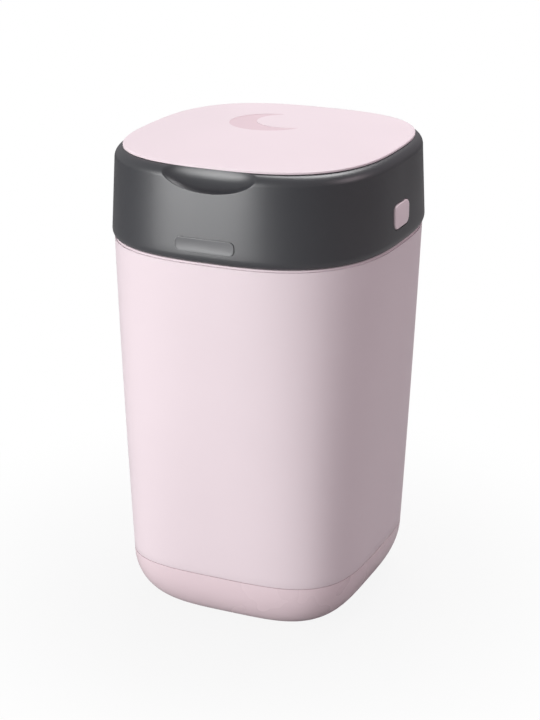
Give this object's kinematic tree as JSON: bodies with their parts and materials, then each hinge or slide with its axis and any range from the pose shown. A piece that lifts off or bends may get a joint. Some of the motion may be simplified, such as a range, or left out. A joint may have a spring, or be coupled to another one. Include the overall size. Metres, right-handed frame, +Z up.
{
  "type": "nappy bin",
  "caption": "Upright rounded-square nappy bin: a tapered tub on a rounded pan, a hinged head with a flip lid, and a twisting film cassette with a cutter.",
  "frame": {"origin": "the middle of the base pan's flat underside, on the floor", "axes": "+Z up through the throat, front with the badge and finger scoop towards -Y, +X towards the side on the right as seen from the front"},
  "size_m": [0.2622, 0.2857, 0.4451],
  "materials": {
    "pink_plastic": "smooth satin moulding",
    "pan_plastic": "smooth, slightly glossier moulding",
    "grey_plastic": "satin moulding with a fine grain",
    "plate_plastic": "satin plate",
    "white_plastic": "plain moulding",
    "dial_plastic": "plain moulding",
    "steel": "plain bright steel",
    "film": "gathered thin film",
    "seal": "soft seal"
  },
  "bodies": {
    "tub": {"tub": "pink_plastic", "base_pan": "pan_plastic", "head_hinge_pin": "steel"},
    "head": {"head_collar": "grey_plastic", "badge_plate": "plate_plastic", "head_chassis": "white_plastic", "chassis_screws": "steel", "funnel_deck": "white_plastic", "click_springs": "steel", "jaw_ring": "white_plastic", "jaw_screws": "steel", "lid_hinge_pin": "steel", "latch_spring_right": "steel", "latch_spring_left": "steel"},
    "lid": {"lid_shell": "pink_plastic", "lid_liner": "white_plastic", "lid_seal": "seal"},
    "dial": {"twist_dial": "dial_plastic", "cassette_carrier": "white_plastic", "cassette_tray": "white_plastic", "film_pack": "film", "cassette_cover": "pan_plastic"},
    "cutter": {"cutter_carriage": "pan_plastic", "cutter_blade": "steel"},
    "latch_right": {"latch_button_right": "pink_plastic", "latch_slider_right": "white_plastic"},
    "latch_left": {"latch_button_left": "pink_plastic", "latch_slider_left": "white_plastic"}
  },
  "joints": [
    {"name": "head_hinge", "type": "hinge", "parent": "tub", "child": "head", "pos_m": [0, 0.14239, 0.357], "axis": [-1, 0, 0], "range_deg": [0, 95]},
    {"name": "lid_hinge", "type": "hinge", "parent": "head", "child": "lid", "pos_m": [0, 0.12954, 0.4311], "axis": [-1, 0, 0], "range_deg": [0, 100]},
    {"name": "dial_twist", "type": "hinge", "parent": "head", "child": "dial", "pos_m": [0, 0, 0.4036], "axis": [0, 0, 1], "continuous": true},
    {"name": "cutter_travel", "type": "hinge", "parent": "dial", "child": "cutter", "pos_m": [0, 0, 0.4036], "axis": [0, 0, 1], "range_deg": [0, 338]},
    {"name": "latch_right_press", "type": "slide", "parent": "head", "child": "latch_right", "axis": [-1, 0, 0], "range_m": [0, 0.0045], "stiffness_N_per_m": 400, "springref_m": -0.004, "deforming": ["latch_spring_right"]},
    {"name": "latch_left_press", "type": "slide", "parent": "head", "child": "latch_left", "axis": [1, 0, 0], "range_m": [0, 0.0045], "stiffness_N_per_m": 400, "springref_m": -0.004, "deforming": ["latch_spring_left"]}
  ]
}
